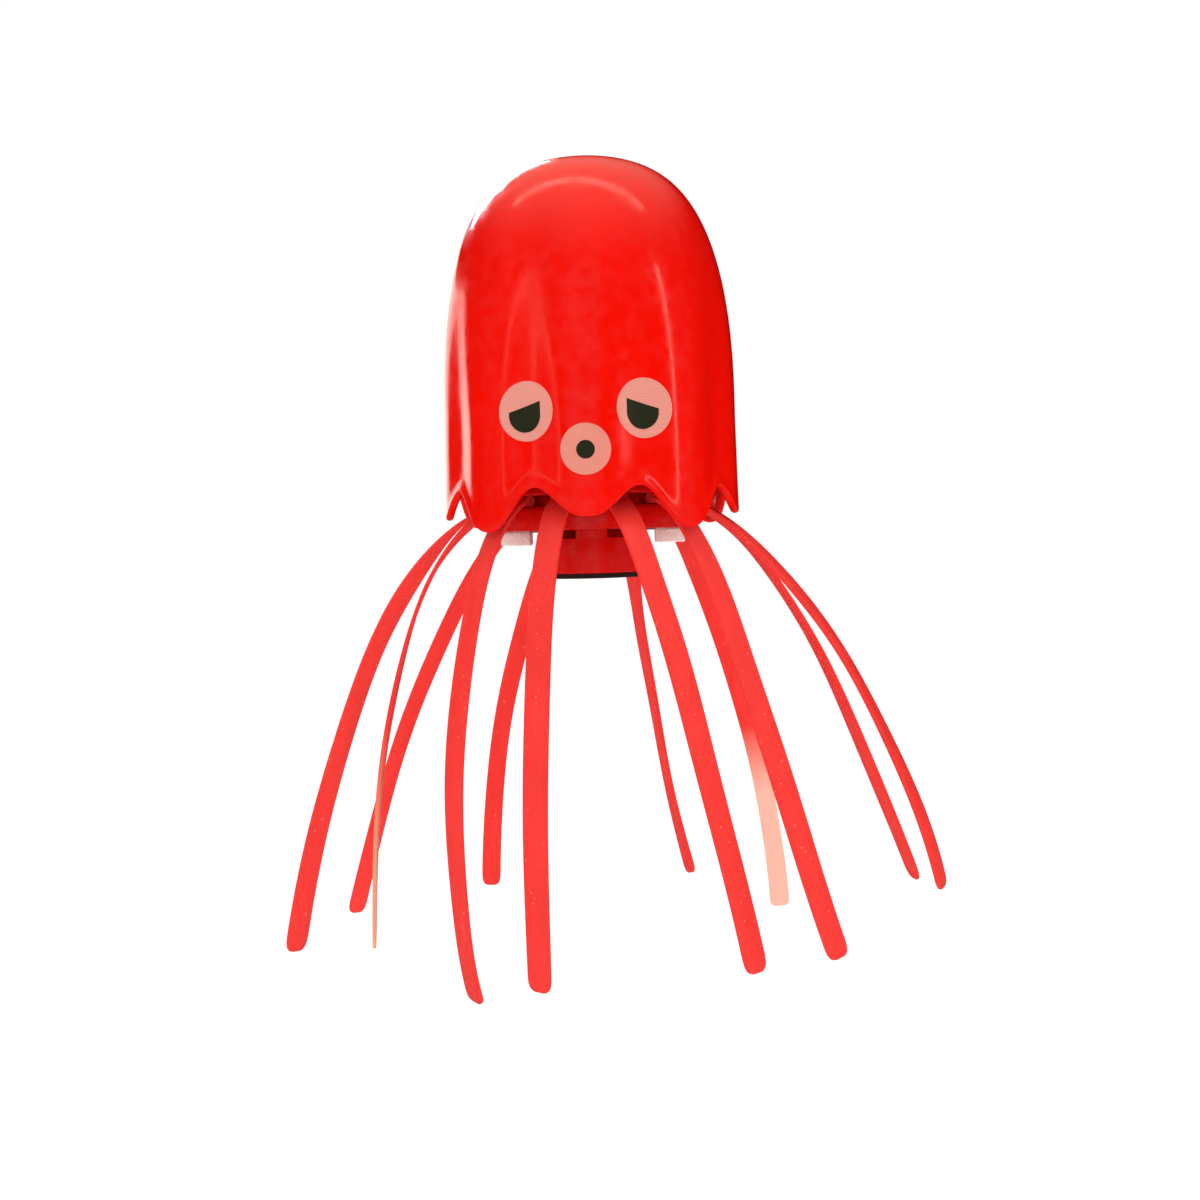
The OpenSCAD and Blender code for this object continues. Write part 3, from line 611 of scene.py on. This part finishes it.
def make_strip(number, shape):
    """A ribbon with rounded edges and tip, bent and twisted along its route, with a bead at its root."""
    route = strip_route(shape)
    bm = bmesh.new()
    bmesh.ops.create_cube(bm, size=1)
    bmesh.ops.scale(bm, verts=bm.verts, vec=(STRIP_W, STRIP_T, 1))
    bmesh.ops.translate(bm, verts=bm.verts, vec=(0, 0, 0.5))
    long_edges = [e for e in bm.edges if abs(e.verts[0].co.z - e.verts[1].co.z) > 0.5]
    bmesh.ops.bevel(bm, geom=long_edges, offset=0.3, segments=3, affect="EDGES", profile=0.5, material=-1)
    for k in range(1, STRIP_CUTS):
        cut = k / STRIP_CUTS
        share = cut if cut < 0.9 else 0.9 + TIP_SHARE * math.sin((cut - 0.9) / TIP_SHARE * math.pi / 2)
        bmesh.ops.bisect_plane(bm, geom=bm.verts[:] + bm.edges[:] + bm.faces[:], plane_co=(0, 0, share),
                               plane_no=(0, 0, 1))
    end_share = STRIP_W / 2 / STRIP_LENGTH
    for vert in bm.verts:
        x, y, t = vert.co
        tip = max(0.0, (t - 1 + end_share) / end_share)
        x *= max(0.03, 1 - tip ** 4) ** 0.25
        y *= 1 - 0.35 * tip ** 4
        way = cubic_way(route, t)
        side = Vector((1, 0, 0))
        side = (side - side.dot(way) * way).normalized()
        normal = side.cross(way)
        ease = max(0, min(1, (t - TWIST_START) / TWIST_SPAN))
        turn = math.radians(shape[7]) * ease * ease * (3 - 2 * ease)
        turn += 0.10 * t * math.sin(9 * t + 2.3 * number)
        wave = 0.22 * t * math.sin(17 * t + 1.7 * number)
        across = side * math.cos(turn) + normal * math.sin(turn)
        through = normal * math.cos(turn) - side * math.sin(turn)
        vert.co = (cubic(route, t) + across * x + through * (y + wave)) * MM
    bead = bmesh.ops.create_cone(bm, cap_ends=True, segments=32, radius1=BEAD_R * MM, radius2=BEAD_R * MM,
                                 depth=STRIP_W * MM)["verts"]
    bmesh.ops.rotate(bm, verts=bead, cent=(0, 0, 0), matrix=Matrix.Rotation(math.pi / 2, 3, "Y"))
    bmesh.ops.translate(bm, verts=bead, vec=(0, -BEAD_RING_R * MM, BEAD_Z * MM))
    turned = Matrix.Rotation(math.radians(shape[0]), 3, "Z")
    bmesh.ops.rotate(bm, verts=bm.verts, cent=(0, 0, 0), matrix=turned)
    material = pale_strip_finishes.get(number, strip_finish)
    made = piece(f"strip_{number:02d}", bm, material, None, "strip_red", f"tentacle_{number:02d}", sharp=50)
    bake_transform(made)


for index, strip_shape in enumerate(STRIP_SHAPES, 1):
    make_strip(index, strip_shape)


# ---------------------------------------------------------------- hub, guard and float pads

def ring_segment(bm, outline, middle, half_angle, steps):
    """A solid arc: an outline of (r, z) millimetres swept either side of an angle from the front."""
    verts = [bm.verts.new((0, -r * MM, z * MM)) for r, z in outline]
    face = bm.faces.new(verts)
    bmesh.ops.rotate(bm, verts=verts, cent=(0, 0, 0), matrix=Matrix.Rotation(middle - half_angle, 3, "Z"))
    bmesh.ops.spin(bm, geom=verts + face.edges[:] + [face], cent=(0, 0, 0), axis=(0, 0, 1),
                   angle=2 * half_angle, steps=steps, use_duplicate=False)
    bmesh.ops.holes_fill(bm, edges=[e for e in bm.edges if e.is_boundary], sides=0)


DUCT_IN_R, DUCT_R, DUCT_LOW, DUCT_HIGH, DISC_Z = 8.6, 10.3, 1.0, 8.0, 9.6
LEGS, LEG_LOW, GAP_HALF_W, GAP_R = 5, 7.9, 3.1, 9.8
GUARD_IN_R, GUARD_R, GUARD_T, BOSS_R, SPOKES = 7.8, 10, 1, 2.6, 4


def make_hub():
    """The duct stands under the disc on five legs; the water comes in between them."""
    bm = bmesh.new()
    lathe(bm, rounded_outline([(DUCT_IN_R, DUCT_LOW, 0.2), (DUCT_R, DUCT_LOW, 0.3), (DUCT_R, DUCT_HIGH, 0.15),
                               (DUCT_IN_R, DUCT_HIGH, 0.1)]), steps=128)
    leg = [(DUCT_IN_R, LEG_LOW), (DUCT_R, LEG_LOW), (DUCT_R, DISC_Z), (DUCT_IN_R, DISC_Z)]
    for k in range(LEGS):
        ring_segment(bm, leg, math.radians(72 * k), math.radians(36) - math.asin(GAP_HALF_W / GAP_R), 12)
    piece("hub_duct", bm, base_finish, "capsule", "base_red", "hub")


def bar(bm, size, place, turn=0.0, edge=0.2):
    """A rounded block: size and place in millimetres, turned about Z through the origin."""
    made = bmesh.ops.create_cube(bm, size=1)["verts"]
    bmesh.ops.scale(bm, verts=made, vec=Vector(size) * MM)
    bmesh.ops.translate(bm, verts=made, vec=Vector(place) * MM)
    bmesh.ops.rotate(bm, verts=made, cent=(0, 0, 0), matrix=Matrix.Rotation(turn, 3, "Z"))
    edges = list({e for v in made for e in v.link_edges})
    bmesh.ops.bevel(bm, geom=edges, offset=edge * MM, segments=2, affect="EDGES", profile=0.5, material=-1)


def make_guard():
    """A black ring with four spokes and a centre boss, under the duct."""
    bm = bmesh.new()
    lathe(bm, rounded_outline([(GUARD_IN_R, 0, 0.25), (GUARD_R, 0, 0.35), (GUARD_R, GUARD_T, 0.2),
                               (GUARD_IN_R, GUARD_T, 0.2)]), steps=128)
    lathe(bm, rounded_outline([(0, 0), (BOSS_R, 0, 0.25), (BOSS_R, GUARD_T, 0.2), (0, GUARD_T)]),
          closed=False, steps=64)
    for k in range(SPOKES):
        bar(bm, (1.0, 5.6, 0.8), (0, -5.2, GUARD_T / 2), math.radians(90 * (k + 1)), 0.15)
    piece("guard_grille", bm, guard_finish, "capsule", "guard_black", "outlet_guard")


def make_pads():
    """A foam float under the disc on each side of the duct."""
    corners = [(13.2, 6.8, 0.4), (18.8, 6.8, 0.4), (18.8, DISC_Z, 0.2), (13.2, DISC_Z, 0.2)]
    for side, word in ((-1, "left"), (1, "right")):
        bm = bmesh.new()
        ring_segment(bm, rounded_outline(corners), side * math.pi / 2, math.radians(17), 20)
        ends = [e for e in bm.edges if len(e.link_faces) == 2 and e.calc_face_angle(0) > math.radians(60)]
        bmesh.ops.bevel(bm, geom=ends, offset=0.25 * MM, segments=2, affect="EDGES", profile=0.5, material=-1)
        piece(f"float_pad_foam_{word}", bm, foam_finish, "capsule", "float_foam", f"float_pad_{word}")


# ---------------------------------------------------------------- capsule, impeller and drive

SCREW_RING_R, SCREW_DEGREES = 13.6, (-25, 25, 155, 205)
COVER_BORE, COVER_R, NECK_BORE, NECK_R = 17.2, 18.6, 7.6, 9
BLADES, BLADE_Z = 3, 5.4
BLADE_CUTS = (2.6, 3.4, 4.2, 5.0, 5.8, 6.6, 7.2)
SPRING_Z, SPRING_R, WIRE_R, SPRING_STEP_RISE = 46.75, 4.3, 0.24, 0.0062
CELLS, CELL_LOW, CELL_PITCH = 3, 47.8, 5.45
MOTOR_Y = 8


def arc(middle, radius, start, end, steps=10):
    """Points on an arc about a middle, between two angles in degrees."""
    return [(middle[0] + radius * math.cos(math.radians(start + (end - start) * k / steps)),
             middle[1] + radius * math.sin(math.radians(start + (end - start) * k / steps)))
            for k in range(steps + 1)]


def make_capsule():
    """The floor with its screw posts, the cover with its battery neck, two seals and the ballast."""
    bm = bmesh.new()
    groove = arc((BEAD_RING_R, BEAD_Z), 1.35, 135.3, 44.7)
    lathe(bm, rounded_outline([(2.4, 16.2, 0.1)] + groove + [
        (22, 16.2, 0.3), (22, 18.2, 0.4), (17, 18.2, 0.25), (17, 27.4, 0.2), (15.2, 27.4, 0.2),
        (15.2, 18.2, 0.3), (4, 18.2, 0.2), (4, 21.6, 0.3), (2.4, 21.6, 0.1)]), steps=144)
    for degrees in SCREW_DEGREES:
        post = bmesh.ops.create_cone(bm, cap_ends=True, segments=32, radius1=1.9 * MM, radius2=1.8 * MM,
                                     depth=9.2 * MM)["verts"]
        bmesh.ops.translate(bm, verts=post, vec=(0, -SCREW_RING_R * MM, 22.8 * MM))
        turned = Matrix.Rotation(math.radians(degrees), 3, "Z")
        bmesh.ops.rotate(bm, verts=post, cent=(0, 0, 0), matrix=turned)
    piece("capsule_base_moulding", bm, base_finish, "capsule", "base_red", "capsule_base")
    lathed("capsule_cover_moulding", [
        (COVER_BORE, 22, 0.2), (COVER_R, 22, 0.3), (COVER_R, 44.5, 1.2), (COVER_BORE, 46.5, 0.8),
        (10.4, 47.5, 1.0), (NECK_R, 48.7, 0.6), (NECK_R, 65.5, 0.3), (NECK_BORE, 65.5, 0.3),
        (NECK_BORE, 46.3, 0.4), (16, 44.9, 0.4), (COVER_BORE, 43.7, 0.4)],
        capsule_finish, "capsule", "capsule_plastic", "capsule_cover", steps=144)
    lathed("capsule_seal", arc((16.76, 24.4), 0.42, 0, 345, 15), rubber_finish, "capsule", "seal_rubber",
           "capsule_o_ring", steps=128)
    lathed("cap_seal", arc((8.2, 66.05), 0.45, 0, 345, 15), rubber_finish, "cap", "seal_rubber", "cap_o_ring")
    lathed("ballast_turning", [(4.4, 18.2, 0.3), (11.3, 18.2, 0.4), (11.3, 21.2, 0.4), (4.4, 21.2, 0.3)],
           ballast_finish, "capsule", "ballast_steel", "ballast_ring", steps=128)


def make_impeller():
    """Three twisted blades on a rounded boss."""
    bm = bmesh.new()
    lathe(bm, rounded_outline([(1, 3.2, 0.1), (2.3, 3.2, 0.6), (2.3, 7.6, 0.3), (1, 7.6, 0.1)]), steps=48)
    for k in range(BLADES):
        made = bmesh.ops.create_cube(bm, size=1)["verts"]
        bmesh.ops.scale(bm, verts=made, vec=(5.9, 5.4, 0.8))
        bmesh.ops.translate(bm, verts=made, vec=(4.85, 0, 0))
        edges = list({e for v in made for e in v.link_edges})
        rounded = bmesh.ops.bevel(bm, geom=edges, offset=0.3, segments=3, affect="EDGES", profile=0.5,
                                  material=-1)
        blade = list({v for f in rounded["faces"] for v in f.verts} | {v for v in made if v.is_valid})
        for cut in BLADE_CUTS:
            faces = {f for v in blade for f in v.link_faces}
            geom = list(faces | {e for f in faces for e in f.edges} | {v for f in faces for v in f.verts})
            new = bmesh.ops.bisect_plane(bm, geom=geom, plane_co=(cut, 0, 0), plane_no=(1, 0, 0))["geom_cut"]
            blade += [v for v in new if isinstance(v, bmesh.types.BMVert)]
        for vert in set(blade):
            x, chord, rise = vert.co
            pitch = math.radians(52 - 4.5 * x)
            spread = chord * (0.55 + 0.45 * min(1, x / 7.8))
            vert.co = Vector((x, spread * math.cos(pitch) - rise * math.sin(pitch),
                              BLADE_Z + (spread * math.sin(pitch) + rise * math.cos(pitch)) * 0.62)) * MM
        turned = Matrix.Rotation(k * math.tau / BLADES, 3, "Z")
        bmesh.ops.rotate(bm, verts=list(set(blade)), cent=(0, 0, 0), matrix=turned)
    piece("impeller_moulding", bm, impeller_finish, "rotor", "impeller_white", "impeller")


def make_contact_spring():
    """Three turns of wire that close in towards the top."""
    bm = bmesh.new()
    ring = [bm.verts.new((SPRING_R * MM + x * MM, 0, SPRING_Z * MM + z * MM))
            for x, z in arc((0, 0), WIRE_R, 0, 324, 9)]
    edges = [bm.edges.new(pair) for pair in zip(ring, ring[1:] + ring[:1])]
    bmesh.ops.spin(bm, geom=ring + edges, cent=(0, 0, 0), axis=(0, 0, 1), dvec=(0, 0, SPRING_STEP_RISE * MM),
                   angle=math.tau * 3, steps=120, use_merge=False)
    for vert in bm.verts:
        rise = max(0, vert.co.z / MM - SPRING_Z)
        shrink = 1 - 0.52 * min(1, rise / 1.0)
        vert.co.x *= shrink
        vert.co.y *= shrink
    bmesh.ops.holes_fill(bm, edges=[e for e in bm.edges if e.is_boundary], sides=0)
    piece("contact_spring_wire", bm, gold_finish, "capsule", "contact_gold", "contact_spring")


def make_button_cells():
    """A stack of cells, each a can with a step round its lower cap."""
    bm = bmesh.new()
    for k in range(CELLS):
        base = CELL_LOW + k * CELL_PITCH
        lathe(bm, rounded_outline([
            (0, base), (5.0, base, 0.25), (5.1, base + 0.6), (5.35, base + 0.45, 0.05),
            (5.8, base + 0.7, 0.25), (5.8, base + 5.4, 0.35), (4.6, base + 5.4), (4.4, base + 5.35),
            (0, base + 5.35)]),
            closed=False, steps=96)
    piece("button_cell_stack", bm, cell_finish, "capsule", "cell_steel", "button_cells")


def make_motor():
    """The drawn can with its nose round the shaft, and the moulded end over it."""
    bm = bmesh.new()
    lathe(bm, rounded_outline([(0.55, 27.4, 0.1), (1.5, 27.4, 0.2), (1.5, 28.8), (6, 28.8, 0.7),
                               (6, 40.8, 0.15), (5.4, 40.8, 0.1), (5.4, 39.8), (0.55, 39.8)]), steps=96)
    bmesh.ops.translate(bm, verts=bm.verts, vec=(0, MOTOR_Y * MM, 0))
    piece("motor_can_drawn", bm, motor_finish, "capsule", "motor_steel", "motor_can")
    bm = bmesh.new()
    lathe(bm, rounded_outline([(0, 39.8), (5.4, 39.8), (5.4, 41.6, 0.4), (1.6, 41.6, 0.2), (1.6, 42.6, 0.3),
                               (0, 42.6)]), closed=False, steps=96)
    bmesh.ops.translate(bm, verts=bm.verts, vec=(0, MOTOR_Y * MM, 0))
    piece("motor_end_moulding", bm, white_finish, "capsule", "gear_white", "motor_end_cap")


make_hub()
make_guard()
make_pads()
make_capsule()
make_impeller()
make_contact_spring()
make_button_cells()
make_motor()


# ---------------------------------------------------------------- nodes that keep their CAD meshes

CAD_FINISHES = {
    "clamp_disc": base_finish, "clamp_screws": screw_finish, "water_contacts": gold_finish,
    "lower_bush": bush_finish, "upper_bush": bush_finish, "shaft_seal": rubber_finish,
    "impeller_shaft": shaft_finish, "motor_shaft": shaft_finish, "drive_gear": white_finish,
    "motor_pinion": gold_finish, "gear_plate": plate_finish, "plate_screws": screw_finish,
    "circuit_board": board_finish, "motor_leads": lead_finish, "cell_sleeve": guard_finish,
    "contact_plate": gold_finish, "battery_cap": cap_finish,
}
PLAIN_EDGE = 0.12
EDGES = {"drive_gear": 0.04, "motor_pinion": 0.04, "water_contacts": 0.1, "clamp_disc": 0.2,
         "battery_cap": 0.25}


def finish_cad_node(name, material):
    """Gives a CAD mesh its material and rounds its edges with modifiers."""
    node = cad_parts[name]
    node.data.materials.clear()
    node.data.materials.append(material)
    weld = node.modifiers.new("weld", "WELD")
    weld.merge_threshold = 1e-6
    soften = node.modifiers.new("edges", "BEVEL")
    soften.width = EDGES.get(name, PLAIN_EDGE) * MM
    soften.segments = 2
    soften.limit_method = "ANGLE"
    soften.angle_limit = math.radians(32)
    soften.harden_normals = True


for cad_name, cad_finish in CAD_FINISHES.items():
    finish_cad_node(cad_name, cad_finish)
